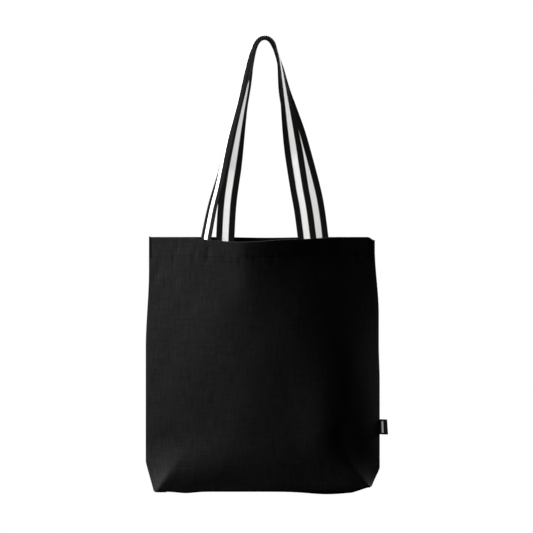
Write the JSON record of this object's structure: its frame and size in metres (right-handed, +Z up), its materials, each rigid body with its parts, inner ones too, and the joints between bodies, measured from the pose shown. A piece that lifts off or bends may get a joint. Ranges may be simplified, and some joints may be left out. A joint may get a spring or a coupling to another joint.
{
  "type": "canvas tote bag",
  "caption": "Open canvas tote bag with a boxed base, two long striped webbing handles that fold out over the rim, and a folded label in a side seam.",
  "frame": {"origin": "middle of the flat base, on its underside", "axes": "+Z up towards the handles, -Y towards the front, +X towards the side label"},
  "size_m": [0.3944, 0.0806, 0.742],
  "materials": {
    "canvas": "matt plain-weave cotton canvas, black",
    "webbing": "flat cotton webbing, black with a white middle stripe",
    "thread": "black sewing thread",
    "overlock": "black overlocked seam allowance",
    "label": "black woven ribbon with a plain grey bar"
  },
  "bodies": {
    "bag": {"front_panel": "canvas", "back_panel": "canvas", "front_handle_left_end": "webbing", "front_handle_right_end": "webbing", "back_handle_left_end": "webbing", "back_handle_right_end": "webbing", "front_hem_stitching": "thread", "back_hem_stitching": "thread", "front_left_box_stitching": "thread", "front_right_box_stitching": "thread", "back_left_box_stitching": "thread", "back_right_box_stitching": "thread", "left_side_seam": "overlock", "right_side_seam": "overlock", "left_corner_seam": "overlock", "right_corner_seam": "overlock", "bottom_seam": "overlock"},
    "front_handle": {"front_handle": "webbing"},
    "back_handle": {"back_handle": "webbing"},
    "side_label": {"side_label": "label"}
  },
  "joints": [
    {"name": "front_handle_fold", "type": "hinge", "parent": "bag", "child": "front_handle", "pos_m": [-0.01, -0.03461, 0.414], "axis": [1, 0, 0], "range_deg": [0, 172]},
    {"name": "back_handle_fold", "type": "hinge", "parent": "bag", "child": "back_handle", "pos_m": [0.015, 0.02905, 0.414], "axis": [-1, 0, 0], "range_deg": [0, 172]},
    {"name": "label_fold", "type": "hinge", "parent": "bag", "child": "side_label", "pos_m": [0.19045, 0, 0.10625], "axis": [0, 0, 1], "range_deg": [-100, 100]}
  ]
}
